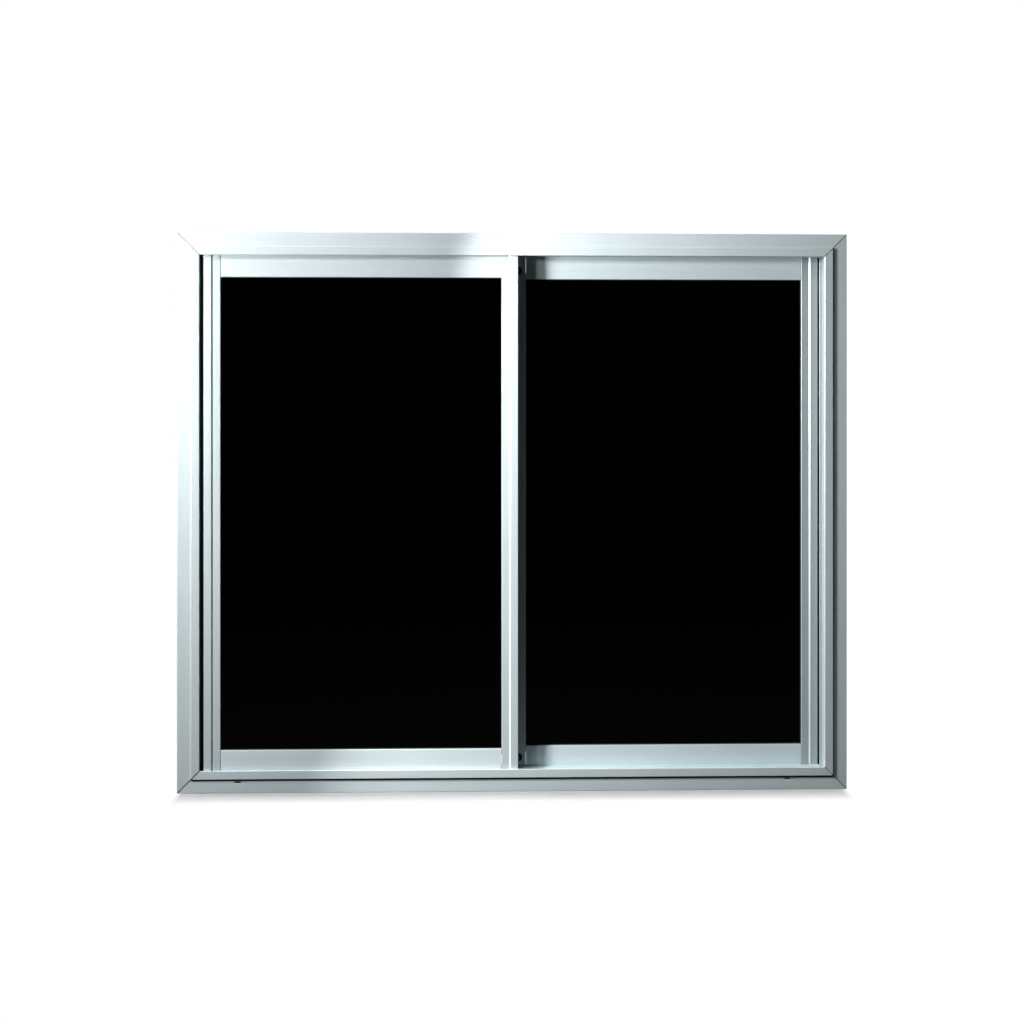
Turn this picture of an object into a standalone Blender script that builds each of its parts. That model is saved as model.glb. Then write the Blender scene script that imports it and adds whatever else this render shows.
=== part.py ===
"""Two-sash horizontal sliding window in aluminium.

A mitred face trim covers the joint with the wall. Behind it stand a head and a
sill with two channels each and two square-cut jambs. The front sash closes on
the left jamb, the back sash on the right one, and their meeting stiles hook
together in the middle.

X runs to the right, Y into the wall and Z up. The plane Y = 0 is the wall's
face. Every section is drawn once as (u, y), with u measured inward from the
outer edge of the frame or the sash that it belongs to, and is then turned
about Y to the side where it is used.
"""
import math

import bmesh
import bpy
from mathutils import Matrix, Vector

MM = 0.001

# Overall size and face trim
WIDTH = 1200 * MM
HEIGHT = 1000 * MM
FLANGE_W = 25.1 * MM          # flat flange that laps onto the wall
FLANGE_T = 2 * MM
BAND_W = 15.1 * MM            # raised inner band of the trim
BAND_LAP = 1 * MM             # band past the inner edge of head, sill and jambs
BAND_RISE = 3 * MM            # how far the band stands off the flange
TRIM_T = 2 * MM
GAP = 0.3 * MM                # between pieces that touch
MITRE_GAP = 0.9 * MM          # across the joints of the trim
OPEN_MITRE = 1.5 * MM         # the same at the lower left corner
EDGE_R = 0.8 * MM             # rounding of the extruded edges

# Track frame
WALL = 1.6 * MM
FRAME_BACK_LIP = 1.1 * MM     # running clearance of a sash in its channel
LEG_H = 12 * MM               # outer legs that stand in the wall opening
LEG_PITCH = 30 * MM
RAIL_TIP = 3.4 * MM           # height of the sill's roller rail
GUIDE_TIP = 8.4 * MM          # depth of the head's guide rib
JAMB_RIB = 5 * MM             # jamb's divider rib, beyond its floor
BRUSH_W = 5 * MM
BRUSH_T = 1.2 * MM
BRUSH_POCKET = 2.4 * MM
PILE_W = 3.4 * MM

# Sashes
SASH_RECESS = 5 * MM          # sash face behind the face of the raised band
SASH_GAP = 4 * MM             # between the two sliding planes
CLOSING_GAP = 7.8 * MM        # stile to jamb floor, filled by the brush
OVERLAP = 15.2 * MM           # of the two meeting stiles
STILE_BOX = 13.2 * MM         # outer part of the stile's face
STILE_SLOPE = 2.7 * MM
STILE_LAND = 13.5 * MM        # inner part, beside the glass
STILE_STEP = 2 * MM           # it and the rails lie this much lower
TOP_SIGHT = 40.2 * MM         # height of the top rail clear of the head channel
BOTTOM_SIGHT = 36.6 * MM
TOP_HIDDEN = 5.5 * MM         # sash height inside the head channel
BOTTOM_HIDDEN = 5 * MM
SASH_T = 1.4 * MM
LIP_T = 3 * MM                # each wall beside the glazing pocket
RUBBER_T = 4 * MM             # gasket on each side of the pane, with its play
LIP_LEG = 4.4 * MM
CHANNEL_D = 20 * MM           # rails' channel that faces the frame
RAIL_GAP = 0.7 * MM           # butt joint of a rail and a stile
HOOK_T = 1.2 * MM             # hooks of the meeting stiles
HOOK_IN = 1.6 * MM            # root of a hook from the edge or the middle of the overlap
HOOK_PLAY = 1 * MM            # sideways, between the two hooks
HOOK_SHORT = 0.4 * MM         # from a hook's tip to the other sash

# Glazing
GLASS_T = 4 * MM
GLASS_EDGE = 1.5 * MM         # rubber past the edge of the pane
POCKET_FLOOR = 2 * MM         # gasket to the floor of the glazing pocket
GASKET_SIGHT = 1 * MM

# Rollers and guides
WHEEL_ROOT_R = 8 * MM
WHEEL_R = 9.3 * MM
WHEEL_W = 5 * MM
AXLE_R = 2 * MM
AXLE_CLEAR = 0.12 * MM
CARRIAGE_L = 46 * MM
CARRIAGE_H = 17 * MM
ROLLER_INSET = 32.6 * MM      # roller centre from the end of the rail
GUIDE_L = 30 * MM
GUIDE_H = 9 * MM
GUIDE_SLOT = 2.6 * MM

# Holes
ACCESS_R = 7.5 * MM           # fitting holes in the back meeting stile
ACCESS_FROM_GLASS = 14 * MM
ACCESS_TOP = 14.8 * MM        # above the glass opening
ACCESS_BOTTOM = 21 * MM       # below the glass opening
WEEP_L = 10.4 * MM            # drain slots in the bottom flange
WEEP_H = 7.2 * MM
WEEP_INSET = 108 * MM         # from the end of the trim
WEEP_U = 20 * MM

# Derived planes and levels
TRIM_U = FLANGE_W + BAND_W
FACE_W = TRIM_U - BAND_LAP
BAND_Y = -FLANGE_T - BAND_RISE
POCKET_W = GLASS_T + 2 * RUBBER_T
RAIL_D = POCKET_W + 2 * LIP_T
SASH_D = RAIL_D + 2 * STILE_STEP
STILE_W = STILE_BOX + STILE_SLOPE + STILE_LAND
POCKET_D = STILE_LAND         # depth of the glazing pocket
GASKET_BITE = POCKET_D - POCKET_FLOOR
GLASS_BITE = GASKET_BITE - GLASS_EDGE
LIP_Y = BAND_Y + TRIM_T + GAP
FRONT_Y = BAND_Y + SASH_RECESS
TRACK_PITCH = SASH_D + SASH_GAP
BACK_Y = FRONT_Y + TRACK_PITCH
DIVIDER_Y = (FRONT_Y + SASH_D + BACK_Y - WALL) / 2
REAR_LIP_Y = BACK_Y + SASH_D + FRAME_BACK_LIP
FRAME_BACK = REAR_LIP_Y + WALL
FRAME_U = FLANGE_W + TRIM_T
FLOOR_U = FRAME_U + WALL
RAIL_U = FLOOR_U + RAIL_TIP
GUIDE_U = FLOOR_U + GUIDE_TIP
SASH_TOP_U = FACE_W - TOP_HIDDEN
SASH_BOTTOM_U = FACE_W - BOTTOM_HIDDEN
SASH_H = HEIGHT - SASH_TOP_U - SASH_BOTTOM_U
TOP_RAIL_H = TOP_HIDDEN + TOP_SIGHT
BOTTOM_RAIL_H = BOTTOM_HIDDEN + BOTTOM_SIGHT
FLOOR_X = WIDTH / 2 - FACE_W
SASH_W = FLOOR_X - CLOSING_GAP + OVERLAP / 2
OPENING_W = SASH_W - 2 * STILE_W
OPENING_H = SASH_H - TOP_RAIL_H - BOTTOM_RAIL_H
FRONT_X = -FLOOR_X + CLOSING_GAP + SASH_W / 2
BACK_X = -FRONT_X
SASH_Z = (SASH_BOTTOM_U + HEIGHT - SASH_TOP_U) / 2
AXLE_U = RAIL_U + GAP + WHEEL_ROOT_R
WEEP_X = WIDTH / 2 - WEEP_INSET

# The origin lies on the back of the bottom flange, half way up it
BASE_Z = -FLANGE_W / 2
CENTRE = Vector((0, 0, BASE_Z + HEIGHT / 2))
LEFT, BOTTOM, TOP, RIGHT = 0.0, -math.pi / 2, math.pi / 2, math.pi


def clear_scene():
    for obj in list(bpy.data.objects):
        bpy.data.objects.remove(obj, do_unlink=True)


def new_collection(name):
    group = bpy.data.collections.new(name)
    bpy.context.scene.collection.children.link(group)
    return group


clear_scene()
WINDOW = new_collection("sliding_window")
CUTTERS = new_collection("cutters")


# Materials
def make_material(name, color, roughness, metallic=0.0, alpha=1.0):
    mat = bpy.data.materials.new(name)
    mat.use_nodes = True
    shader = mat.node_tree.nodes["Principled BSDF"]
    shader.inputs["Base Color"].default_value = (*color, 1.0)
    shader.inputs["Roughness"].default_value = roughness
    shader.inputs["Metallic"].default_value = metallic
    shader.inputs["Alpha"].default_value = alpha
    mat.diffuse_color = (*color, alpha)
    return mat


ANODISED = make_material("anodised_aluminium", (0.60, 0.65, 0.66), 0.38, 0.85)
GLASS = make_material("dark_glass", (0.004, 0.004, 0.005), 0.05, 0.0, 0.97)
RUBBER = make_material("gasket_rubber", (0.012, 0.012, 0.013), 0.7)
PILE = make_material("brush_pile", (0.015, 0.015, 0.016), 0.95)
NYLON = make_material("nylon", (0.62, 0.62, 0.58), 0.5)
ROLLER = make_material("roller_nylon", (0.80, 0.80, 0.77), 0.4)


# Outlines: lists of (u, y, radius of the corner)
def rounded(points, steps=3):
    """A closed outline with an arc at each corner that has a radius."""
    outline = []
    count = len(points)
    for i, (px, py, r) in enumerate(points):
        here = Vector((px, py))
        if r <= 0:
            outline.append(here)
            continue
        before = Vector(points[i - 1][:2]) - here
        after = Vector(points[(i + 1) % count][:2]) - here
        before.normalize()
        after.normalize()
        half = before.angle(after) / 2
        back = r / math.tan(half)
        centre = here + (before + after).normalized() * (r / math.sin(half))
        start, end = here + before * back - centre, here + after * back - centre
        sweep = start.angle_signed(end)
        for k in range(steps + 1):
            a = -sweep * k / steps
            outline.append(centre + Matrix.Rotation(a, 2) @ start)
    return outline


def box_outline(u0, u1, y0, y1, r=0.0):
    return [(u0, y0, r), (u1, y0, r), (u1, y1, r), (u0, y1, r)]


def trim_section():
    """Flange plate, raised band and its short return towards the wall."""
    inner = BAND_Y + TRIM_T
    return [[
        (0, 0, 0), (0, -FLANGE_T, EDGE_R), (FLANGE_W, -FLANGE_T, 0.4 * MM),
        (FLANGE_W, BAND_Y, EDGE_R), (TRIM_U, BAND_Y, EDGE_R),
        (TRIM_U, LIP_Y + WALL, 0.3 * MM), (TRIM_U - WALL, LIP_Y + WALL, 0.3 * MM),
        (TRIM_U - WALL, inner, 0), (FLANGE_W + WALL, inner, 0),
        (FLANGE_W + WALL, 0, 0),
    ]]


def comb(walls, floor0, floor1, y0, y1):
    """A floor plate with walls on its inner side, as (start y, end y, tip u, corner radius)."""
    points = [(floor0, y1, 0), (floor0, y0, 0)]
    level = y0
    for w0, w1, tip, r in walls:
        if w0 > level:
            points.append((floor1, w0, 0))
        points += [(tip, w0, r), (tip, w1, r)]
        if w1 < y1:
            points.append((floor1, w1, 0))
        level = w1
    if level < y1:
        points.append((floor1, y1, 0))
    return points


def sash_planes():
    """Middle of each sash, along Y."""
    return FRONT_Y + SASH_D / 2, BACK_Y + SASH_D / 2


def track_section(rib_u, rib_r):
    """Head or sill: lips, divider, one rib under each sash and two legs outside."""
    walls = [(LIP_Y, LIP_Y + WALL, TRIM_U - WALL - GAP, 0)]
    first, second = sash_planes()
    walls.append((first - WALL / 2, first + WALL / 2, rib_u, rib_r))
    walls.append((DIVIDER_Y, DIVIDER_Y + WALL, FACE_W, 0.4 * MM))
    walls.append((second - WALL / 2, second + WALL / 2, rib_u, rib_r))
    walls.append((REAR_LIP_Y, FRAME_BACK, FACE_W, 0.4 * MM))
    points = comb(walls, FRAME_U, FLOOR_U, LIP_Y, FRAME_BACK)
    middle = (first + second) / 2
    legs = []
    for y in (middle + LEG_PITCH / 2, middle - LEG_PITCH / 2):
        legs += [(FRAME_U, y + WALL / 2, 0), (FRAME_U - LEG_H, y + WALL / 2, 0.3 * MM),
                 (FRAME_U - LEG_H, y - WALL / 2, 0.3 * MM), (FRAME_U, y - WALL / 2, 0)]
    return [points[:1] + legs + points[1:]]


def jamb_section(brush_y):
    """Hollow jamb with a divider rib and one pocket for a brush strip."""
    pocket0, pocket1 = brush_y - BRUSH_W / 2 - GAP, brush_y + BRUSH_W / 2 + GAP
    deep = FACE_W - BRUSH_POCKET
    mouth0, mouth1 = brush_y - PILE_W / 2 - GAP, brush_y + PILE_W / 2 + GAP
    lip = FACE_W - 0.9 * MM
    pocket = [(FACE_W, mouth0, 0), (lip, mouth0, 0), (lip, pocket0, 0), (deep, pocket0, 0),
              (deep, pocket1, 0), (lip, pocket1, 0), (lip, mouth1, 0), (FACE_W, mouth1, 0)]
    rib = [(FACE_W, DIVIDER_Y, 0), (FACE_W + JAMB_RIB, DIVIDER_Y, 0.4 * MM),
           (FACE_W + JAMB_RIB, DIVIDER_Y + WALL, 0.4 * MM), (FACE_W, DIVIDER_Y + WALL, 0)]
    steps = pocket + rib if brush_y < DIVIDER_Y else rib + pocket
    middle = sum(sash_planes()) / 2
    legs = []
    for y in (middle + LEG_PITCH / 2, middle - LEG_PITCH / 2):
        legs += [(FRAME_U, y + WALL / 2, 0), (FRAME_U - LEG_H, y + WALL / 2, 0.3 * MM),
                 (FRAME_U - LEG_H, y - WALL / 2, 0.3 * MM), (FRAME_U, y - WALL / 2, 0)]
    # The front wall stops behind the return of the trim
    front = [(FRAME_U, LIP_Y, 0), (TRIM_U - WALL - GAP, LIP_Y, 0),
             (TRIM_U - WALL - GAP, LIP_Y + WALL + GAP, 0), (FACE_W, LIP_Y + WALL + GAP, 0)]
    outer = front + steps + [(FACE_W, FRAME_BACK, 0.4 * MM), (FRAME_U, FRAME_BACK, 0)] + legs
    u0, u1 = FRAME_U + WALL, FACE_W - WALL
    y0, y1 = LIP_Y + 2 * WALL + GAP, FRAME_BACK - WALL
    bump = deep - WALL
    hollow = [(u0, y0, 0), (u1, y0, 0), (u1, pocket0 - WALL, 0), (bump, pocket0 - WALL, 0),
              (bump, pocket1 + WALL, 0), (u1, pocket1 + WALL, 0), (u1, y1, 0), (u0, y1, 0)]
    return [outer, hollow]


def glazing_edge(width, y0, y1):
    """The glass side of a sash section: pocket walls, lips and their legs, front to back."""
    lip = (y1 - y0 - POCKET_W) / 2
    t = SASH_T
    floor = width - POCKET_D
    leg = 1.2 * MM
    return [
        (width, y0, EDGE_R), (width, y0 + lip, 0.4 * MM), (width - LIP_LEG, y0 + lip, 0),
        (width - LIP_LEG, y0 + lip - leg, 0), (width - t, y0 + lip - leg, 0),
        (width - t, y0 + t, 0), (floor, y0 + t, 0), (floor, y1 - t, 0),
        (width - t, y1 - t, 0), (width - t, y1 - lip + leg, 0),
        (width - LIP_LEG, y1 - lip + leg, 0), (width - LIP_LEG, y1 - lip, 0),
        (width, y1 - lip, 0.4 * MM), (width, y1, EDGE_R),
    ]


def rail_section(height):
    """Rail: channel towards the frame, hollow middle, glazing pocket."""
    y0, y1 = STILE_STEP, SASH_D - STILE_STEP
    t = SASH_T
    outer = [(0, y0 + t, 0), (0, y0, 0.4 * MM)] + glazing_edge(height, y0, y1)
    outer += [(0, y1, 0.4 * MM), (0, y1 - t, 0), (CHANNEL_D, y1 - t, 0), (CHANNEL_D, y0 + t, 0)]
    floor = height - POCKET_D - t
    if floor - CHANNEL_D - t > 2 * MM:
        return [outer, box_outline(CHANNEL_D + t, floor, y0 + t, y1 - t)]
    return [outer]


def stile_section(hook=None):
    """Stile: raised outer box, sloping step and lower glazing part."""
    d, s, t = SASH_D, STILE_STEP, SASH_T
    u1, u2 = STILE_BOX, STILE_BOX + STILE_SLOPE
    front = [(0, 0, EDGE_R), (u1, 0, 0.8 * MM), (u2, s, 0.6 * MM)]
    back = [(u2, d - s, 0.6 * MM), (u1, d, 0.8 * MM)]
    if hook:
        leg, foot = hook
        reach, r = SASH_GAP - HOOK_SHORT, HOOK_T / 4
        near = leg + HOOK_T
        back += [(near, d, r), (near, d + reach - HOOK_T, 0), (foot, d + reach - HOOK_T, r),
                 (foot, d + reach, r), (leg, d + reach, r), (leg, d, r)]
    outer = front + glazing_edge(STILE_W, s, d - s) + back + [(0, d, EDGE_R)]
    inner = STILE_W - POCKET_D - t
    hollow = [(t, t, 0), (u1 - 0.5 * t, t, 0)]
    if inner > u2:
        hollow += [(u2, s + t, 0), (inner, s + t, 0), (inner, d - s - t, 0), (u2, d - s - t, 0)]
    else:
        part = (inner - u1) / STILE_SLOPE
        hollow = [(t, t, 0), (u1 - 0.5 * t, t, 0), (inner, t + s * part + 0.4 * t, 0),
                  (inner, d - t - s * part - 0.4 * t, 0), (u1 - 0.5 * t, d - t, 0)]
        return [outer, hollow + [(t, d - t, 0)]]
    return [outer, hollow + [(u1 - 0.5 * t, d - t, 0), (t, d - t, 0)]]


# Building pieces
def add_object(name, mesh, material, collection=WINDOW):
    obj = bpy.data.objects.new(name, mesh)
    collection.objects.link(obj)
    if material:
        mesh.materials.clear()
        mesh.materials.append(material)
    return obj


def extrude_section(name, loops, length):
    """A mesh from outlines in local X and Y, extruded evenly to both sides along Z."""
    curve = bpy.data.curves.new(name + "_section", "CURVE")
    curve.dimensions = "2D"
    curve.fill_mode = "BOTH"
    curve.extrude = length / 2
    for loop in loops:
        outline = rounded(loop)
        spline = curve.splines.new("POLY")
        spline.points.add(len(outline) - 1)
        for point, co in zip(spline.points, outline):
            point.co = (co.x, co.y, 0, 1)
        spline.use_cyclic_u = True
    temp = bpy.data.objects.new(name + "_curve", curve)
    bpy.context.scene.collection.objects.link(temp)
    graph = bpy.context.evaluated_depsgraph_get()
    mesh = bpy.data.meshes.new_from_object(temp.evaluated_get(graph))
    bpy.data.objects.remove(temp)
    mesh.name = name
    bm = bmesh.new()
    bm.from_mesh(mesh)
    bmesh.ops.remove_doubles(bm, verts=bm.verts, dist=1e-6)
    bmesh.ops.dissolve_limit(bm, angle_limit=math.radians(0.3), verts=bm.verts, edges=bm.edges)
    bmesh.ops.recalc_face_normals(bm, faces=bm.faces)
    bm.to_mesh(mesh)
    bm.free()
    return mesh


def mitre_ends(mesh, half, length, gaps):
    """Cuts both ends at 45 degrees through the outer corners, less half of each joint's gap."""
    bm = bmesh.new()
    bm.from_mesh(mesh)
    for side, gap in zip((1, -1), gaps):
        geom = bm.verts[:] + bm.edges[:] + bm.faces[:]
        cut = bmesh.ops.bisect_plane(
            bm, geom=geom, dist=1e-7, clear_outer=True,
            plane_co=(-half, 0, side * (length / 2 - gap * 0.7)), plane_no=(1, 0, side))
        edges = [e for e in cut["geom_cut"] if isinstance(e, bmesh.types.BMEdge)]
        bmesh.ops.triangle_fill(bm, edges=edges, use_beauty=True)
    bmesh.ops.recalc_face_normals(bm, faces=bm.faces)
    bm.to_mesh(mesh)
    bm.free()


def member(name, loops, half, length, turn, centre, material, mitre_gaps=None):
    """An extruded piece whose outer edge lies `half` from the centre on one side."""
    moved = [[(u - half, y, r) for u, y, r in loop] for loop in loops]
    mesh = extrude_section(name, moved, length)
    if mitre_gaps:
        mitre_ends(mesh, half, length, mitre_gaps)
    obj = add_object(name, mesh, material)
    obj.location = centre
    obj.rotation_euler = (0, turn, 0)
    return obj


def box_mesh(name, size):
    bm = bmesh.new()
    bmesh.ops.create_cube(bm, size=1.0)
    bmesh.ops.scale(bm, vec=size, verts=bm.verts)
    mesh = bpy.data.meshes.new(name)
    bm.to_mesh(mesh)
    bm.free()
    return mesh


def drum_mesh(name, radius, length, sides=32):
    """A cylinder along Y."""
    bm = bmesh.new()
    bmesh.ops.create_cone(bm, cap_ends=True, segments=sides, radius1=radius, radius2=radius,
                          depth=length, matrix=Matrix.Rotation(math.pi / 2, 4, "X"))
    mesh = bpy.data.meshes.new(name)
    bm.to_mesh(mesh)
    bm.free()
    return mesh


def cut(obj, mesh, place):
    """Subtracts a cutter mesh placed in the world."""
    cutter = add_object("cut_" + mesh.name, mesh, None, CUTTERS)
    cutter.location = place
    cutter.display_type = "WIRE"
    cutter.hide_render = True
    mod = obj.modifiers.new(mesh.name, "BOOLEAN")
    mod.operation = "DIFFERENCE"
    mod.solver = "EXACT"
    mod.object = cutter


# Face trim
def build_trim():
    tight = MITRE_GAP, MITRE_GAP
    sides = (("trim_left", WIDTH / 2, HEIGHT, LEFT, (MITRE_GAP, OPEN_MITRE)),
             ("trim_right", WIDTH / 2, HEIGHT, RIGHT, tight),
             ("trim_top", HEIGHT / 2, WIDTH, TOP, tight),
             ("trim_bottom", HEIGHT / 2, WIDTH, BOTTOM, (OPEN_MITRE, MITRE_GAP)))
    made = {}
    for name, half, length, turn, gaps in sides:
        made[name] = member(name, trim_section(), half, length, turn, CENTRE, ANODISED, gaps)
    for side in (-1, 1):
        slot = box_mesh("weep_slot", (WEEP_L, 4 * FLANGE_T, WEEP_H))
        cut(made["trim_bottom"], slot, (side * WEEP_X, -FLANGE_T / 2, BASE_Z + WEEP_U))


# Track frame
def build_tracks():
    length = WIDTH - 2 * FRAME_U
    head = member("head_track", track_section(GUIDE_U, 0.4 * MM), HEIGHT / 2, length, TOP, CENTRE, ANODISED)
    sill = member("sill_track", track_section(RAIL_U, 0.7 * MM), HEIGHT / 2, length, BOTTOM, CENTRE, ANODISED)
    # Everything above the floor is cut back at both ends for the jambs
    high = FACE_W + WALL
    for track, sign in ((head, 1), (sill, -1)):
        z = CENTRE.z + sign * (HEIGHT / 2 - (FLOOR_U + high) / 2)
        for side in (-1, 1):
            wide = WIDTH / 2 - FRAME_U - (FLOOR_X - GAP)
            size = (wide * 2, FRAME_BACK - LIP_Y + 4 * WALL, high - FLOOR_U)
            place = (side * (FLOOR_X - GAP + wide), (FRAME_BACK + LIP_Y) / 2, z)
            cut(track, box_mesh("jamb_seat", size), place)
            size = (JAMB_RIB * 2, WALL * 2, high - FLOOR_U)
            place = (side * (FLOOR_X - GAP), DIVIDER_Y + WALL / 2, z)
            cut(track, box_mesh("rib_seat", size), place)
    return head, sill


def build_jambs():
    length = HEIGHT - 2 * (FLOOR_U + GAP)
    first, second = sash_planes()
    for name, brush_y, turn in (("left_jamb", first, LEFT), ("right_jamb", second, RIGHT)):
        member(name, jamb_section(brush_y), WIDTH / 2, length, turn, CENTRE, ANODISED)
        base0 = FACE_W - BRUSH_POCKET + GAP
        tip = FACE_W + CLOSING_GAP - GAP
        strip = [(base0, brush_y - BRUSH_W / 2, 0), (base0 + BRUSH_T * 0.8, brush_y - BRUSH_W / 2, 0),
                 (base0 + BRUSH_T * 0.8, brush_y - PILE_W / 2, 0), (tip, brush_y - PILE_W / 2, 0.5 * MM),
                 (tip, brush_y + PILE_W / 2, 0.5 * MM), (base0 + BRUSH_T * 0.8, brush_y + PILE_W / 2, 0),
                 (base0 + BRUSH_T * 0.8, brush_y + BRUSH_W / 2, 0), (base0, brush_y + BRUSH_W / 2, 0)]
        side = name.split("_")[0]
        # It stops just short of the head's guide rib
        z0, z1 = SASH_BOTTOM_U + 1 * MM, HEIGHT - GUIDE_U - 1 * MM
        member(side + "_brush_seal", [strip], WIDTH / 2, z1 - z0, turn,
               Vector((0, 0, BASE_Z + (z0 + z1) / 2)), PILE)


# Sashes
def build_sash(name, x, y, front):
    """One sash; its stiles mirror each other and its rails stand between them."""
    centre = Vector((x, y, BASE_Z + SASH_Z))
    closing, meeting = (LEFT, RIGHT) if front else (RIGHT, LEFT)
    member(name + "_closing_stile", stile_section(), SASH_W / 2, SASH_H, closing, centre, ANODISED)
    if front:
        hook = (OVERLAP / 2 - HOOK_IN, OVERLAP - HOOK_IN - HOOK_T - HOOK_PLAY)
    else:
        hook = (HOOK_IN, OVERLAP / 2 + HOOK_IN - HOOK_T - HOOK_PLAY)
    section = stile_section(hook)
    if not front:
        section = [[(u, SASH_D - v, r) for u, v, r in reversed(loop)] for loop in section]
    stile = member(name + "_meeting_stile", section, SASH_W / 2, SASH_H, meeting, centre, ANODISED)
    side = 1 if front else -1
    out = SASH_GAP + 0.1 * MM
    face = y + SASH_D + out if front else y - out
    crop_hook(stile, x + side * (SASH_W - STILE_W) / 2, face, centre)
    length = OPENING_W - 2 * RAIL_GAP
    member(name + "_top_rail", rail_section(TOP_RAIL_H), SASH_H / 2, length, TOP, centre, ANODISED)
    member(name + "_bottom_rail", rail_section(BOTTOM_RAIL_H), SASH_H / 2, length, BOTTOM, centre, ANODISED)
    return stile, centre


def notch_stiles(name, centre):
    """The guide rib of the head passes through both walls at the top of each stile."""
    depth = GUIDE_U - SASH_TOP_U + (SASH_TOP_U - FLOOR_U) + 1 * MM
    top = centre.z + SASH_H / 2
    for part, side in (("_closing_stile", -1), ("_meeting_stile", 1)):
        stile = bpy.data.objects[name + part]
        x = centre.x + (side if name == "front_sash" else -side) * (SASH_W / 2 - STILE_W / 2)
        slot = box_mesh("guide_slot", (STILE_W * 1.2, WALL + 3 * MM, 2 * depth))
        cut(stile, slot, (x, centre.y + SASH_D / 2, top))


def crop_hook(stile, x, face, centre):
    """The hook is sawn off at both ends, where the stile runs beside the track's divider."""
    size = (STILE_W * 1.4, 2 * SASH_GAP, 0.04)
    for sign, hidden in ((1, TOP_HIDDEN), (-1, BOTTOM_HIDDEN)):
        z = centre.z + sign * (SASH_H / 2 - hidden - 1.5 * MM + size[2] / 2)
        cut(stile, box_mesh("hook_end", size), (x, face, z))


def build_glazing(name, centre):
    z = centre.z + (BOTTOM_RAIL_H - TOP_RAIL_H) / 2
    place = (centre.x, centre.y + SASH_D / 2, z)
    size = (OPENING_W + 2 * GLASS_BITE, GLASS_T, OPENING_H + 2 * GLASS_BITE)
    glass = add_object(name + "_glass", box_mesh(name + "_glass", size), GLASS)
    glass.location = place
    bevel = glass.modifiers.new("arris", "BEVEL")
    bevel.width = 0.4 * MM
    bevel.segments = 1

    def ring(grow):
        w, h = OPENING_W / 2 + grow, OPENING_H / 2 + grow
        return [(-w, -h, 0), (w, -h, 0), (w, h, 0), (-w, h, 0)]

    thick = POCKET_W - 2 * GAP
    mesh = extrude_section(name + "_gasket", [ring(GASKET_BITE), ring(-GASKET_SIGHT)], thick)
    gasket = add_object(name + "_gasket", mesh, RUBBER)
    gasket.location = place
    gasket.rotation_euler = (math.pi / 2, 0, 0)
    slot = (size[0] + 2 * GAP, GLASS_T + 2 * GAP, size[2] + 2 * GAP)
    cut(gasket, box_mesh(name + "_glass_seat", slot), place)


# Rollers and guides
def wheel_mesh(name):
    """A grooved wheel and its axle as one turned shape about X, then laid along Y."""
    half = WHEEL_W / 2
    groove = WALL / 2 + 0.4 * MM
    axle = half + 3.6 * MM
    profile = [(0, axle), (AXLE_R, axle), (AXLE_R, half), (WHEEL_R, half),
               (WHEEL_R, groove + 0.5 * MM), (WHEEL_ROOT_R, groove),
               (WHEEL_ROOT_R, -groove), (WHEEL_R, -groove - 0.5 * MM),
               (WHEEL_R, -half), (AXLE_R, -half), (AXLE_R, -axle), (0, -axle)]
    mesh = bpy.data.meshes.new(name)
    bm = bmesh.new()
    verts = [bm.verts.new((r, 0, z)) for r, z in profile]
    for a, b in zip(verts, verts[1:]):
        bm.edges.new((a, b))
    bmesh.ops.spin(bm, geom=bm.verts[:] + bm.edges[:], axis=(0, 0, 1), cent=(0, 0, 0),
                   angle=2 * math.pi, steps=28, use_merge=True)
    bmesh.ops.remove_doubles(bm, verts=bm.verts, dist=1e-6)
    bmesh.ops.rotate(bm, verts=bm.verts, matrix=Matrix.Rotation(math.pi / 2, 3, "X"))
    bmesh.ops.recalc_face_normals(bm, faces=bm.faces)
    bm.to_mesh(mesh)
    bm.free()
    mesh.shade_smooth()
    mesh.set_sharp_from_angle(angle=math.radians(35))
    return mesh


def build_rollers(name, centre):
    """Two carriages in the bottom rail's channel, each with one wheel on the sill's rail."""
    inside = RAIL_D - 2 * SASH_T - 2 * GAP
    low = BASE_Z + SASH_BOTTOM_U + 1 * MM
    y = centre.y + SASH_D / 2
    axle_z = BASE_Z + AXLE_U
    for side, label in ((-1, "left"), (1, "right")):
        x = centre.x + side * (OPENING_W / 2 - ROLLER_INSET)
        body = box_mesh(name + "_carriage_body", (CARRIAGE_L, inside, CARRIAGE_H))
        block = add_object(f"{name}_{label}_carriage", body, NYLON)
        block.location = (x, y, low + CARRIAGE_H / 2)
        room = (2 * WHEEL_R + 3 * MM, WHEEL_W + 1.2 * MM, 2 * CARRIAGE_H)
        cut(block, box_mesh("wheel_room", room), (x, y, low))
        cut(block, drum_mesh("axle_hole", AXLE_R + AXLE_CLEAR, 2 * inside, 28), (x, y, axle_z))
        wheel = add_object(f"{name}_{label}_wheel", wheel_mesh("roller_wheel"), ROLLER)
        wheel.location = (x, y, axle_z)


def build_guides(name, centre):
    """Nylon guides in the top rail's channel; the head's rib runs in their slot."""
    inside = RAIL_D - 2 * SASH_T - 2 * GAP
    top = BASE_Z + HEIGHT - SASH_TOP_U - 1 * MM
    y = centre.y + SASH_D / 2
    for side, label in ((-1, "left"), (1, "right")):
        x = centre.x + side * (OPENING_W / 2 - ROLLER_INSET)
        body = box_mesh(name + "_guide_body", (GUIDE_L, inside, GUIDE_H))
        block = add_object(f"{name}_{label}_guide", body, NYLON)
        block.location = (x, y, top - GUIDE_H / 2)
        room = (GUIDE_L * 2, GUIDE_SLOT, 2 * (GUIDE_H - 1.5 * MM))
        cut(block, box_mesh("rib_slot", room), (x, y, top))


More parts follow.
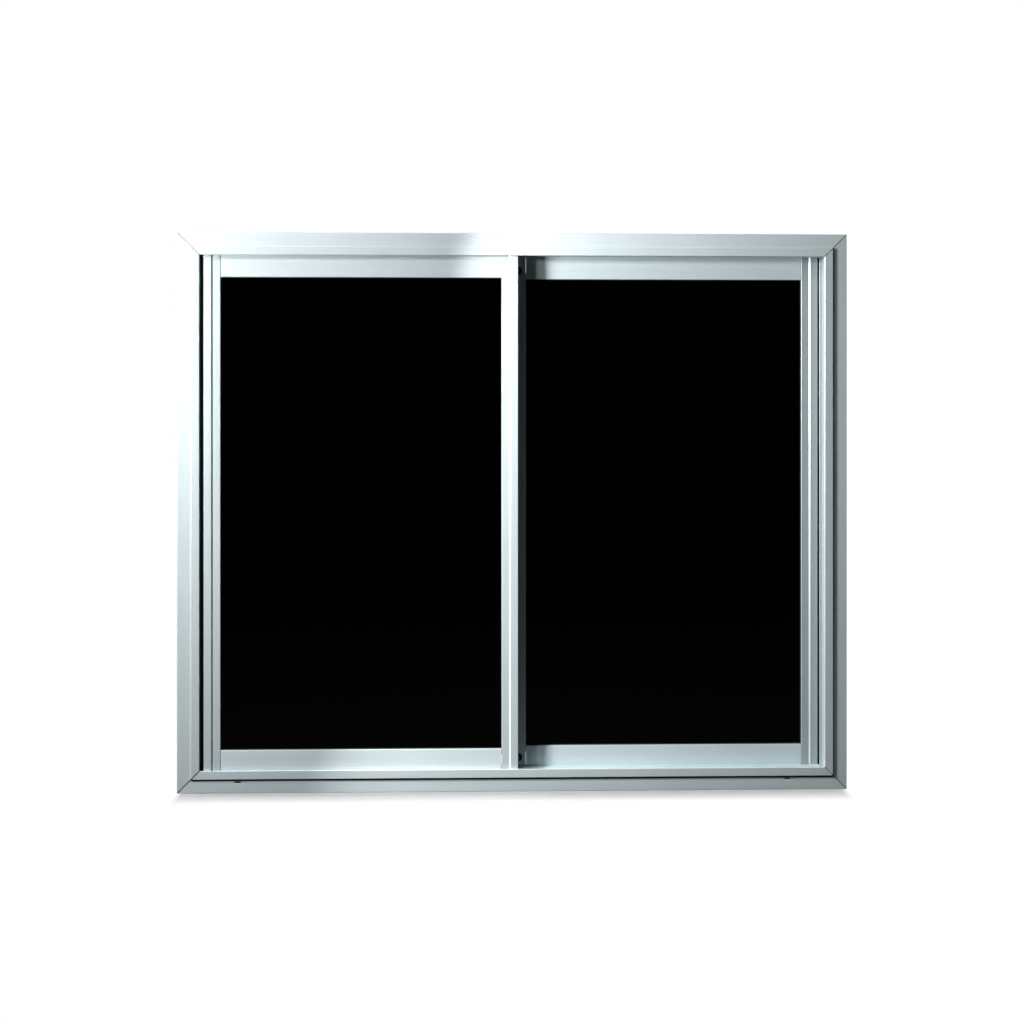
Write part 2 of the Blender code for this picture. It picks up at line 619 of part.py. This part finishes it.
def drill_access(stile, centre):
    """Round fitting holes in the front wall of the back meeting stile, one at each rail."""
    x = centre.x - SASH_W / 2 + STILE_W - ACCESS_FROM_GLASS
    low = centre.z - SASH_H / 2 + BOTTOM_RAIL_H
    for z in (low + OPENING_H + ACCESS_TOP, low - ACCESS_BOTTOM):
        deep = STILE_STEP + 1.2 * SASH_T
        cut(stile, drum_mesh("access_hole", ACCESS_R, 2 * deep, 36), (x, centre.y, z))


build_trim()
build_tracks()
build_jambs()
for sash, sash_x, sash_y, is_front in (("front_sash", FRONT_X, FRONT_Y, True),
                                       ("back_sash", BACK_X, BACK_Y, False)):
    meeting_stile, sash_centre = build_sash(sash, sash_x, sash_y, is_front)
    notch_stiles(sash, sash_centre)
    build_glazing(sash, sash_centre)
    build_rollers(sash, sash_centre)
    build_guides(sash, sash_centre)
    if not is_front:
        drill_access(meeting_stile, sash_centre)
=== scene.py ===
# %% [markdown]
# # A two-sash sliding window
#
# The solids of this window come ready made: a mitred face trim, head and sill with their channels,
# jambs and two glazed sashes. This lesson dresses them. It gives every piece its finish, adds the
# small things that are too fine for the solid model, and sets up the camera and the studio light.

# %% Load the solids
import math
import bmesh
import bpy
from mathutils import Matrix, Vector


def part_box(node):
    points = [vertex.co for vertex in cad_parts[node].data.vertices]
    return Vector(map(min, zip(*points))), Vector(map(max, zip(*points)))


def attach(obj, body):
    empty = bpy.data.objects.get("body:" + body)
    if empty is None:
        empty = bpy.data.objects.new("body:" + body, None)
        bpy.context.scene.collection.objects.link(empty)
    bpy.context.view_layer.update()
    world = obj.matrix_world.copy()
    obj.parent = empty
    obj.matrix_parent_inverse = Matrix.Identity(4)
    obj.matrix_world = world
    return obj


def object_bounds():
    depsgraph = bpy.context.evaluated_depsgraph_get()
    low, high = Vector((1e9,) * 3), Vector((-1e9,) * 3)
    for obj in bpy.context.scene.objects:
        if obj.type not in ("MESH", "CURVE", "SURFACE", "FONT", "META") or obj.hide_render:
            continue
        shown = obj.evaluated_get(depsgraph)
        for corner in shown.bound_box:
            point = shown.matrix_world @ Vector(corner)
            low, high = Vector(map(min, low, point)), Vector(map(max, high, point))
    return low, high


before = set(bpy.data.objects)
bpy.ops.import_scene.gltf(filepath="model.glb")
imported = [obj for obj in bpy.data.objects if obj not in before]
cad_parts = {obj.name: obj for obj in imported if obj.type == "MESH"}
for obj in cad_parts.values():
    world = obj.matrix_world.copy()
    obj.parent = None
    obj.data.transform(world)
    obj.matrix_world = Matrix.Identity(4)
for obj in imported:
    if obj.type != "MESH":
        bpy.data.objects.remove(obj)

cad_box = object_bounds()
print("solids:", len(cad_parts), "pieces, box", [[round(v, 4) for v in c] for c in cad_box])

# %% [markdown]
# ## The camera
#
# The photograph is taken almost square on, from a little above the middle and slightly left of it.
# A window is all straight lines, so a camera that is a fraction of a degree out shows at once.
# Keeping the camera level and moving the picture with the lens shift holds the uprights parallel,
# as they nearly are in the photograph. The lens, the place and the turn come from a fit to edges
# that were measured in the photograph.

# %% Camera
picture_px = 1024
focal_px = 1560.7
axis_px = (543.16, 426.92)
sensor_mm = 36
camera_place = (-0.0317, -2.7986, 0.6404)
turn_degrees = -1.723

camera_data = bpy.data.cameras.new("camera")
camera_data.sensor_width = sensor_mm
camera_data.lens = focal_px * sensor_mm / picture_px
camera_data.shift_x = (picture_px / 2 - axis_px[0]) / picture_px
camera_data.shift_y = (axis_px[1] - picture_px / 2) / picture_px
camera_data.clip_end = 100
camera = bpy.data.objects.new("camera", camera_data)
camera.location = camera_place
camera.rotation_euler = (math.radians(90), 0, math.radians(turn_degrees))
bpy.context.scene.collection.objects.link(camera)
bpy.context.scene.camera = camera
print("camera:", round(camera_data.lens, 2), "mm at", tuple(camera.location))

# %% [markdown]
# ## Shader maths as plain expressions
#
# A procedural finish is a sum of patterns. Wired by hand, every plus sign is a node with two links.
# One small class that wraps a socket and knows +, - and * lets the recipe be written as it is
# thought: `0.4 + 0.1 * grain`.

# %% The socket wrapper
class Wire:
    """An output socket of one node tree, which can be written in sums and products."""

    def __init__(self, tree, socket):
        self.tree, self.socket = tree, socket

    def math(self, operation, a, b=None):
        node = self.tree.nodes.new("ShaderNodeMath")
        node.operation = operation
        for i, value in enumerate((a, b)):
            if isinstance(value, Wire):
                self.tree.links.new(value.socket, node.inputs[i])
            elif value is not None:
                node.inputs[i].default_value = value
        return Wire(self.tree, node.outputs[0])

    def __add__(self, other):
        return self.math("ADD", self, other)

    def __radd__(self, other):
        return self.math("ADD", other, self)

    def __sub__(self, other):
        return self.math("SUBTRACT", self, other)

    def __rsub__(self, other):
        return self.math("SUBTRACT", other, self)

    def __mul__(self, other):
        return self.math("MULTIPLY", self, other)

    def __rmul__(self, other):
        return self.math("MULTIPLY", other, self)

    def __abs__(self):
        return self.math("ABSOLUTE", self)


print("socket wrapper ready")

# %% [markdown]
# ## One method for every other node
#
# Materials and the world are both node trees, so one method adds nodes to either. A finish is such
# a tree with a Principled shader at its end and a few patterns that can feed it. All patterns read
# Object coordinates, so they stay in place on the piece from every side.

# %% Recipes and finishes
class Recipe:
    """A node tree and the one method that adds a node to it."""

    def __init__(self, tree):
        self.tree = tree

    def node(self, kind, settings=None, **sockets):
        """Sockets go by name, or by number as i0, i1 and so on."""
        node = self.tree.nodes.new(kind)
        for key, value in (settings or {}).items():
            setattr(node, key, value)
        for key, value in sockets.items():
            numbered = key[0] == "i" and key[1:].isdigit()
            socket = node.inputs[int(key[1:]) if numbered else key.replace("_", " ")]
            if isinstance(value, Wire):
                value = value.socket
            if isinstance(value, bpy.types.NodeSocket):
                self.tree.links.new(value, socket)
            else:
                socket.default_value = value
        return node


class Finish(Recipe):
    """One material: its Principled shader and the patterns that feed it."""

    def __init__(self, name, **constants):
        self.material = bpy.data.materials.new(name)
        self.material.use_nodes = True
        super().__init__(self.material.node_tree)
        self.shader = self.tree.nodes["Principled BSDF"]
        for socket, value in constants.items():
            self.shader.inputs[socket.replace("_", " ")].default_value = value
        self.place = self.node("ShaderNodeTexCoord").outputs["Object"]

    def noise(self, scale, detail=2.0, stretch=(1, 1, 1), roughness=0.5):
        where = self.node("ShaderNodeMapping", Vector=self.place, Scale=stretch)
        node = self.node("ShaderNodeTexNoise", Vector=where.outputs[0], Scale=scale,
                         Detail=detail, Roughness=roughness)
        return Wire(self.tree, node.outputs[0])

    def ramp(self, value, low, high):
        node = self.node("ShaderNodeMapRange", {"clamp": True}, i0=value, i1=low, i2=high)
        return Wire(self.tree, node.outputs[0])

    def blend(self, amount, first, second):
        node = self.node("ShaderNodeMix", {"data_type": "RGBA"}, i0=amount, i6=first, i7=second)
        return node.outputs[2]

    def feed(self, socket, value):
        source = value.socket if isinstance(value, Wire) else value
        self.tree.links.new(source, self.shader.inputs[socket])

    def bump(self, height, strength, distance):
        node = self.node("ShaderNodeBump", Height=height, Strength=strength, Distance=distance)
        self.feed("Normal", node.outputs[0])


print("shader helpers ready")

# %% [markdown]
# ## Natural anodised aluminium
#
# The frame is pressed through a die, then etched and anodised. That leaves a satin grey metal with
# very fine lines along the length of each bar. The lines run with the bar, so the noise is drawn
# out a hundred times, along X for bars that lie level and along Z for upright ones. Level bars
# are painted a little paler, a painted highlight for the brighter sheen they show under the lamps.
# Two further tones are painted light and shade, for the few lengths that look lighter or darker
# than the rest.

# %% Aluminium
metal_dark = (0.55, 0.635, 0.655)
metal_light = (0.62, 0.705, 0.725)
# All three tones are painted light and shade: level bars a little paler, one paler copy and one
# duller copy of the aluminium.
level_highlight_tone, painted_light_tone, painted_shade_tone = 1.12, 1.3, 0.68
drawn_out = {"X": (0.01, 1, 1), "Z": (1, 1, 0.01)}


def anodised(name, along, tone_up=1.0):
    """Aluminium with lines along one axis. tone_up multiplies both of its tones."""
    finish = Finish(name, Metallic=0.5)
    lines = finish.noise(1400, 3.0, drawn_out[along], 0.6)
    broad = finish.noise(90, 2.0, drawn_out[along], 0.5)
    cloud = finish.noise(7, 3.0)
    tone = finish.ramp(0.6 * lines + 0.25 * broad + 0.15 * cloud, 0.3, 0.7)
    dark, light = [(*(c * tone_up for c in rgb), 1) for rgb in (metal_dark, metal_light)]
    finish.feed("Base Color", finish.blend(tone, dark, light))
    finish.feed("Roughness", 0.38 + 0.10 * lines + 0.05 * cloud)
    finish.bump(lines, 0.25, 0.00004)
    return finish.material


level_metal = anodised("anodised_level", "X", level_highlight_tone)
upright_metal = anodised("anodised_upright", "Z")
# Painted light and shade: a paler copy and a duller copy of the same aluminium.
painted_light_metal = anodised("anodised_level_painted_light", "X", painted_light_tone)
painted_shade_metal = anodised("anodised_upright_painted_shade", "Z", painted_shade_tone)
print("aluminium finishes:", level_metal.name, upright_metal.name, painted_light_metal.name,
      painted_shade_metal.name)

# %% [markdown]
# ## Dark panes, rubber, pile and nylon
#
# The panes are black glass: almost no light comes back through them, and only a polished surface
# shows. The gasket is matt rubber, the brush is woven pile, the guides and wheels are nylon.

# %% Other finishes
glass = Finish("dark_pane", Base_Color=(0.0005, 0.0005, 0.0006, 1), Roughness=0.02,
               Specular_IOR_Level=0.2)
smear = glass.noise(9, 4.0)
glass.feed("Roughness", 0.02 + 0.03 * glass.ramp(smear, 0.45, 0.75))

rubber = Finish("gasket_rubber", Base_Color=(0.010, 0.010, 0.011, 1))
rubber.feed("Roughness", 0.62 + 0.15 * rubber.noise(300))
rubber.bump(rubber.noise(1800, 3.0), 0.3, 0.00008)

pile = Finish("brush_pile", Base_Color=(0.012, 0.012, 0.013, 1), Roughness=0.95)
pile.bump(pile.noise(1500, 2.0, (1, 1, 0.2)), 0.8, 0.0003)

nylon = Finish("nylon", Base_Color=(0.62, 0.62, 0.58, 1), Roughness=0.5)
nylon.bump(nylon.noise(900), 0.2, 0.00005)

white_nylon = Finish("roller_nylon", Base_Color=(0.80, 0.80, 0.77, 1), Roughness=0.4)
white_nylon.bump(white_nylon.noise(1200), 0.15, 0.00004)
print("other finishes:", glass.material.name, rubber.material.name, pile.material.name,
      nylon.material.name, white_nylon.material.name)

# %% [markdown]
# ## Which solid gets which finish
#
# Each solid's name says what it is, so the end of the name picks rubber, pile, nylon or glass, and
# all else is aluminium. Three lengths have a tone of their own. In the photograph they are paler
# or duller than the lamps alone make them, so their tone is painted light and shade: the front
# sash's bottom rail is painted paler, the back sash's closing stile and the right jamb darker.

# %% Hand the finishes to the solids
BY_ENDING = (("glass", glass), ("gasket", rubber), ("brush_seal", pile),
             (("carriage", "guide"), nylon), ("wheel", white_nylon))
# Painted light and shade: the front sash's bottom rail paler, the back sash's closing stile and the
# right jamb darker.
PAINTED_LIGHT_AND_SHADE = {"front_sash_bottom_rail": painted_light_metal, "back_sash_closing_stile": painted_shade_metal,
               "right_jamb": painted_shade_metal}
LEVEL = ("trim_top", "trim_bottom", "head", "sill", "rail")


def finish_for(name):
    for ending, finish in BY_ENDING:
        if name.endswith(ending):
            return finish.material
    if name in PAINTED_LIGHT_AND_SHADE:
        return PAINTED_LIGHT_AND_SHADE[name]
    return level_metal if any(word in name for word in LEVEL) else upright_metal


used = set()
for name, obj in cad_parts.items():
    material = finish_for(name)
    used.add(material.name)
    for slot in obj.material_slots:
        slot.material = material
print("finishes used:", sorted(used))

# %% [markdown]
# ## Helpers for the fine pieces
#
# Each fine piece is a flat outline pushed to a thickness, or a small turned part. The helpers put
# the piece where it belongs in its mesh, give it a finish, and fix it to the frame.

# %% Helpers for fine pieces
same_place = 1e-6


def object_from(name, bm):
    """Makes a bmesh an object of the scene."""
    mesh = bpy.data.meshes.new(name)
    bm.to_mesh(mesh)
    bm.free()
    obj = bpy.data.objects.new(name, mesh)
    bpy.context.scene.collection.objects.link(obj)
    return obj


def finish_piece(name, bm, material):
    bmesh.ops.recalc_face_normals(bm, faces=bm.faces)
    piece = object_from(name, bm)
    piece.data.materials.append(material)
    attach(piece, "root")
    return piece


def push(bm, points, offset):
    """A closed outline of points, extruded by a vector."""
    face = bm.faces.new([bm.verts.new(p) for p in points])
    grown = bmesh.ops.extrude_face_region(bm, geom=[face])
    moved = [v for v in grown["geom"] if isinstance(v, bmesh.types.BMVert)]
    bmesh.ops.translate(bm, vec=offset, verts=moved)


print("fine piece helpers ready")

# %% [markdown]
# ## The mitres of the trim
#
# Four lengths of trim meet in mitres. An open mitre would let the white behind it show through as a
# bright line, but in the photograph each joint is a dark line. Real joints are closed with sealant
# over an angle key. So a thin dark web fills each joint, a hair proud of the metal, and an L-shaped
# key sits in the hollow of the band behind it. The web at the lower left is thicker, because that
# joint is more open. The places come from the trim's own box, so a wider trim would move the
# joints with it.

# %% Sizes of the trim
trim = [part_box("trim_" + name) for name in ("left", "right", "top", "bottom")]
outer_x = max(box[1][0] for box in trim)
low_z, high_z = min(box[0][2] for box in trim), max(box[1][2] for box in trim)
trim_wide = trim[0][1][0] - trim[0][0][0]
face_y = trim[0][0][1]
band_wide, metal = 0.0151, 0.002
flange_y = -metal
flange_wide = trim_wide - band_wide
print("trim:", round(trim_wide, 4), "wide, flange", round(flange_wide, 4))


def corner(sx, sz):
    """A function that turns distances from both outer edges and a depth into a point."""
    z0 = high_z if sz > 0 else low_z
    return lambda u, v, y: Vector((sx * (outer_x - u), y, z0 - sz * v))


# %% Sealant webs
web_proud, web_tip, web_back = 0.0001, 0.0008, -0.0003
web_thick, open_web_thick = 0.0010, 0.0016
step = flange_wide + metal / 2
inner = trim_wide + web_proud
web = [(web_tip, flange_y - web_proud), (step, flange_y - web_proud), (step, face_y - web_proud),
       (inner, face_y - web_proud), (inner, face_y + 2 * metal),
       (trim_wide - metal, face_y + metal), (flange_wide + metal, face_y + metal),
       (flange_wide + metal, web_back), (web_tip, web_back)]


def sealant(name, sx, sz, thick):
    """The web's outline stands on the mitre line and is pushed across it."""
    at = corner(sx, sz)
    across = Vector((sx, 0, -sz)).normalized()
    bm = bmesh.new()
    push(bm, [at(u, u, y) - across * thick / 2 for u, y in web], across * thick)
    return finish_piece(name, bm, rubber.material)


print("web outline points:", len(web))

# %% Corner keys
key_play, key_gap, key_thick, key_leg = 0.0008, 0.0004, 0.0015, 0.045
near, far = flange_wide + metal + key_play, trim_wide - metal - key_play
angle = [(near, near), (near + key_leg, near), (near + key_leg, far), (far, far),
         (far, near + key_leg), (near, near + key_leg)]


def corner_key(name, sx, sz):
    """An angle whose two legs run along the hollow of the band."""
    at = corner(sx, sz)
    bm = bmesh.new()
    push(bm, [at(u, v, face_y + metal + key_gap) for u, v in angle], Vector((0, key_thick, 0)))
    return finish_piece(name, bm, level_metal)


joints = []
for side, sx in (("left", -1), ("right", 1)):
    for end, sz in (("bottom", -1), ("top", 1)):
        thick = open_web_thick if (side, end) == ("left", "bottom") else web_thick
        joints.append(sealant("sealant_%s_%s" % (end, side), sx, sz, thick))
        joints.append(corner_key("corner_key_%s_%s" % (end, side), sx, sz))
print("mitre pieces:", len(joints))

# %% [markdown]
# ## A painted shadow under the lower band
#
# A black line runs along the lower edge of the bottom band, darker than the band's own shadow. It
# is painted shade: a thin black bead in the corner between the band and the flange, from mitre to
# mitre, that deepens the band's shadow into that line.

# %% Painted shadow bead
bead_high, bead_proud, bead_round = 0.0036, 0.0008, 0.0006
into_band, into_flange = 0.0002, 0.0004
reach = outer_x - flange_wide
bead_top = low_z + flange_wide + into_band
deep, proud = flange_y + into_flange, flange_y - bead_proud
bead = [(-reach, deep), (-reach, proud), (reach, proud), (reach, deep)]
bm = bmesh.new()
push(bm, [(x, y, bead_top) for x, y in bead], Vector((0, 0, -bead_high)))
sharp = [e for e in bm.edges
         if all(v.co.z < bead_top - bead_high / 2 and v.co.y < flange_y for v in e.verts)]
bmesh.ops.bevel(bm, geom=sharp, offset=bead_round, affect="EDGES", segments=2, profile=0.5,
                material=-1)
painted_shadow = finish_piece("painted_shadow_bead", bm, rubber.material)
print("drip bead faces:", len(painted_shadow.data.polygons))

# %% [markdown]
# ## Painted shade in the fitting holes
#
# The back meeting stile has a round hole near each end. In the photograph both are black right up
# to the rim, so each holds a black disc just below the surface, painted shade for the dark inside
# of the hole.

# %% Shade discs in the holes
hole_radius, from_glass, above, below = 0.0075, 0.014, 0.0148, 0.021
shade_disc_play, shade_disc_thick, shade_disc_round, shade_disc_deep = 0.0001, 0.0010, 0.0002, 0.0008
shade_disc_radius = hole_radius - shade_disc_play
stile_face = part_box("back_sash_closing_stile")[0].y
hole_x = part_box("back_sash_meeting_stile")[1].x - from_glass
for end, hole_z in (("top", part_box("back_sash_top_rail")[0].z + above),
                    ("bottom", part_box("back_sash_bottom_rail")[1].z - below)):
    bm = bmesh.new()
    bmesh.ops.create_cone(bm, cap_ends=True, segments=36, radius1=shade_disc_radius,
                          radius2=shade_disc_radius, depth=shade_disc_thick)
    rims = [e for e in bm.edges if abs(e.verts[0].co.z - e.verts[1].co.z) < same_place]
    bmesh.ops.bevel(bm, geom=rims, offset=shade_disc_round, affect="EDGES", segments=2, profile=0.5,
                    material=-1)
    upright = Matrix.Rotation(math.pi / 2, 4, "X")
    into_stile = Matrix.Translation((hole_x, stile_face + shade_disc_deep, hole_z))
    bmesh.ops.transform(bm, verts=bm.verts, matrix=into_stile @ upright)
    shade_disc = finish_piece("hole_shade_disc_" + end, bm, rubber.material)
    print(shade_disc.name, "at", [round(v, 4) for v in (hole_x, stile_face, hole_z)])

# %% [markdown]
# ## Screws in the head and the sill
#
# The jambs stand between the head and the sill, and two long screws through each end hold them.
# They only show from above and below, between the legs that stand in the wall. A head is a small
# dome with a six-sided recess.

# %% Screw heads
steel = Finish("screw_steel", Base_Color=(0.50, 0.50, 0.49, 1), Metallic=0.9)
steel.feed("Roughness", 0.30 + 0.2 * steel.noise(600))


def screw(name, place, up, radius=0.0034, height=0.0022, brim=0.35, socket=0.0015, depth=0.0013):
    """A button head, spun from its half profile. The round recess is then pulled to a hexagon."""
    bm = bmesh.new()
    curve = [math.pi / 10 * i for i in range(4)]
    dome = [(radius * math.cos(a), height * (brim + (1 - brim) * math.sin(a))) for a in curve]
    recess = [(socket, height), (socket, height - depth), (0, height - depth)]
    profile = [bm.verts.new((x, 0, z)) for x, z in [(0, 0), (radius, 0)] + dome + recess]
    edges = [bm.edges.new(pair) for pair in zip(profile, profile[1:])]
    bmesh.ops.spin(bm, geom=profile + edges, cent=(0, 0, 0), axis=(0, 0, 1), angle=math.tau,
                   steps=24, use_merge=True)
    bmesh.ops.remove_doubles(bm, verts=bm.verts, dist=same_place)
    for v in bm.verts:
        if abs(v.co.xy.length - socket) < same_place:
            sixth = math.atan2(v.co.y, v.co.x) % (math.pi / 3) - math.pi / 6
            v.co.xy *= math.cos(math.pi / 6) / math.cos(sixth)
    seat = Matrix.Translation(place) @ Matrix.Diagonal((1, 1, up, 1))
    bmesh.ops.transform(bm, verts=bm.verts, matrix=seat)
    return finish_piece(name, bm, steel.material)


print("screw finish:", steel.material.name)

# %% Frame screws
screw_depths = (0.40, 0.60)
screws = []
for track, up in (("head_track", 1), ("sill_track", -1)):
    for side in ("left", "right"):
        low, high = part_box(side + "_jamb")
        z = high_z - flange_wide - metal if up > 0 else low_z + flange_wide + metal
        for i, share in enumerate(screw_depths):
            at = Vector(((low.x + high.x) / 2, low.y + (high.y - low.y) * share, z))
            screws.append(screw("%s_screw_%s_%d" % (track, side, i + 1), at, up))
print("screws:", len(screws))

# %% [markdown]
# ## The floor
#
# The window stands on white that has no horizon, with only a soft shadow along its bottom edge. So
# the floor right by the window is nearly two thirds matt paint, which takes the shadow, and the
# rest plain white. It turns wholly plain white a hand's width in front of the window and behind it,
# and right at its two ends. The plain white is shown to the camera alone and lights nothing. For
# all other rays the paint is nearly black, so the floor throws hardly any light up at the sill.

# %% Floor
floor_reach = 12
end_fade, front_fade = (0.588, 0.599), (0.075, 0.135)
fade_middle_y = 0.02
matt_share = 0.63
paint_unseen, paint_seen = (0.06, 0.06, 0.06, 1), (0.8, 0.8, 0.8, 1)

bm = bmesh.new()
bmesh.ops.create_grid(bm, x_segments=1, y_segments=1, size=floor_reach)
bmesh.ops.translate(bm, verts=bm.verts, vec=(0, 0, cad_box[0][2]))
floor = object_from("floor", bm)

paint = Finish("floor_white", Roughness=0.9, Specular_IOR_Level=0.0)
where = paint.node("ShaderNodeSeparateXYZ", Vector=paint.place)
x, y = Wire(paint.tree, where.outputs[0]), Wire(paint.tree, where.outputs[1])
past_end = paint.ramp(abs(x), *end_fade)
past_front = paint.ramp(abs(y - fade_middle_y), *front_fade)
away = 1 - matt_share * (1 - past_end) * (1 - past_front)
seen = Wire(paint.tree, paint.node("ShaderNodeLightPath").outputs["Is Camera Ray"])
paint.feed("Base Color", paint.blend(seen, paint_unseen, paint_seen))
plain_white = paint.node("ShaderNodeEmission", Color=(1, 1, 1, 1), Strength=1.0)
surface = paint.node("ShaderNodeMixShader", i0=away * seen, i1=paint.shader.outputs[0],
                     i2=plain_white.outputs[0])
output = [n for n in paint.tree.nodes if n.type == "OUTPUT_MATERIAL"][0]
paint.tree.links.new(surface.outputs[0], output.inputs[0])
floor.data.materials.append(paint.material)
print("floor at z =", round(cad_box[0][2], 4))

# %% [markdown]
# ## The world
#
# The camera sees white behind the window. Everything else sees a faint blue-grey room, because the
# panes are black mirrors: whatever stands opposite them shows in them, and in the photograph
# nothing does. The price is that the metal doesn't mirror the white background either.

# %% World
room_color, room_strength = (0.85, 0.95, 1.0, 1), 0.012

world = bpy.data.worlds.new("studio")
bpy.context.scene.world = world
world.use_nodes = True
world.node_tree.nodes.clear()
studio = Recipe(world.node_tree)
to_camera = studio.node("ShaderNodeLightPath").outputs["Is Camera Ray"]
room = studio.node("ShaderNodeBackground", Color=room_color, Strength=room_strength)
white = studio.node("ShaderNodeBackground", Color=(1, 1, 1, 1), Strength=1.0)
mix = studio.node("ShaderNodeMixShader", i0=to_camera, i1=room.outputs[0], i2=white.outputs[0])
studio.node("ShaderNodeOutputWorld", Surface=mix.outputs[0])
print("world nodes:", len(world.node_tree.nodes))

# %% [markdown]
# ## The lamps
#
# The shadows tell where the light was. The raised band, 3 mm proud, throws a shadow twice as wide
# to the right, and the front sash shades the back one for nearly 50 mm, so the light comes from
# the left, about 60 degrees round. It is brightest at the upper left corner, so it is also near.
# One lamp can't give both that corner and the even light on the right, so several small ones share
# the work, and two weak ones nearer the middle fill in. The back sash has lamps of its own, because
# its rails are as bright as the front ones although they lie deeper.
#
# The first powers came from a least-squares fit of each lamp's own picture to the photograph, and
# were then changed over several renders. The highest lamp is a shade rosy, because the
# brightest metal is nearly neutral in the photograph. One lamp hangs overhead, a little behind the
# window, so that the window shades the strip of floor right in front of it. The last one stands
# behind the window, where it only helps to look at the back.

# %% Lamps
def softbox(name, place, aim, size, watts):
    data = bpy.data.lights.new(name, "AREA")
    data.shape = "RECTANGLE"
    data.size, data.size_y = size
    data.energy = watts
    lamp = bpy.data.objects.new(name, data)
    lamp.location = place
    lamp.rotation_euler = (Vector(aim) - Vector(place)).to_track_quat("-Z", "Y").to_euler()
    lamp.visible_camera = False
    bpy.context.scene.collection.objects.link(lamp)
    return lamp


middle = Vector((0, 0, 0.487))
small_box = (0.2, 0.2)
rosy = (1.0, 0.95, 0.965)
lamps = {"overhead": softbox("overhead", (0, 0.075, 2.6), (0, 0.075, 0), (1.6, 0.14), 98)}
for name, place, watts in (
        ("front_high", (-1.60, -0.80, 1.90), 38.5),
        ("front_low", (-1.60, -0.80, 0.80), 20),
        ("front_near", (-1.15, -0.60, 0.80), 5.6),
        ("front_beam", (-0.95, -0.45, 1.00), 38),
        ("front_fill", (-0.40, -0.90, 1.50), 1.5),
        ("front_beam_inner", (-0.40, -0.90, 1.20), 4.0),
        ("back_far", (-1.60, -0.80, 1.15), 68),
        ("back_fill", (-1.60, -1.30, 1.15), 15),
        ("back_low", (-0.95, -0.45, 0.80), 31)):
    lamps[name] = softbox(name, place, middle, small_box, watts)
lamps["front_high"].data.color = rosy
lamps["rear"] = softbox("rear", (0.9, 2.4, 1.6), middle, (1.2, 1.2), 20)
print("lamps:", ", ".join(lamps))

# %% [markdown]
# ## Flags
#
# In the photograph part of the light stops along a slanting line. A studio does that with a flag,
# a dark card on a stand. Here each flag is one face near the window that only blocks its own lamp:
# neither the camera nor a reflection sees it.

# %% The flags
shaded = ((0.032, 1.3), (-0.40, -0.3), (-3.0, -0.3), (-3.0, 1.3))
towards_window = 0.76


def flag_for(lamp):
    """A card on the way from a lamp to the part of the window's face that stays dark."""
    bm = bmesh.new()
    bm.faces.new([bm.verts.new(lamp.location.lerp(Vector((x, face_y, z)), towards_window))
                  for x, z in shaded])
    flag = object_from("flag_" + lamp.name, bm)
    for kind in ("camera", "diffuse", "glossy", "transmission"):
        setattr(flag, "visible_" + kind, False)
    return flag


flags = {name: flag_for(lamp) for name, lamp in lamps.items() if "beam" in name}
print("flags:", ", ".join(flags))

# %% [markdown]
# ## Light linking
#
# Linking tells each lamp what it lights and what blocks it. It makes every lamp ignore the flags of
# the others. It keeps the lamps on the left off the floor, the one overhead off the window, and all
# of them out of the panes, which show no lamp in the photograph. The back sash's lamps light only
# its rails, meeting stile, gasket and running gear. Its closing stile stands clear of the front
# sash's shadow, so the front lamps light it as they light the jamb beside it.

# %% Link the lamps
def link_group(name, objects, state):
    """A collection that names objects for one lamp, to be left out or to be the only ones."""
    group = bpy.data.collections.new(name)
    for obj in objects:
        group.objects.link(obj)
    for item in group.collection_objects:
        item.light_linking.link_state = state
    return group


panes = [obj for name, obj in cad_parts.items() if name.endswith("_glass")]
back_sash = [obj for name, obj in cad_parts.items()
             if name.startswith("back_sash") and name != "back_sash_closing_stile"
             and obj not in panes]


def lit_by(name):
    if name.startswith("back"):
        return link_group("lit_by_" + name, back_sash, "INCLUDE")
    if name == "overhead":
        return link_group("lit_by_" + name, [floor], "INCLUDE")
    left_out = [floor] + panes + ([] if name == "rear" else back_sash)
    return link_group("not_lit_by_" + name, left_out, "EXCLUDE")


for name, lamp in lamps.items():
    others = [flag for owner, flag in flags.items() if owner != name]
    lamp.light_linking.blocker_collection = link_group("ignored_by_" + name, others, "EXCLUDE")
    lamp.light_linking.receiver_collection = lit_by(name)
print("linked lamps:", len(lamps))

# %% [markdown]
# ## How the picture is shown
#
# Blender's default view transform greys pure white and rolls off the highlights. Standard shows a
# colour as it is written, so white stays white.

# %% View settings
bpy.context.scene.view_settings.view_transform = "Standard"
print("view transform:", bpy.context.scene.view_settings.view_transform)
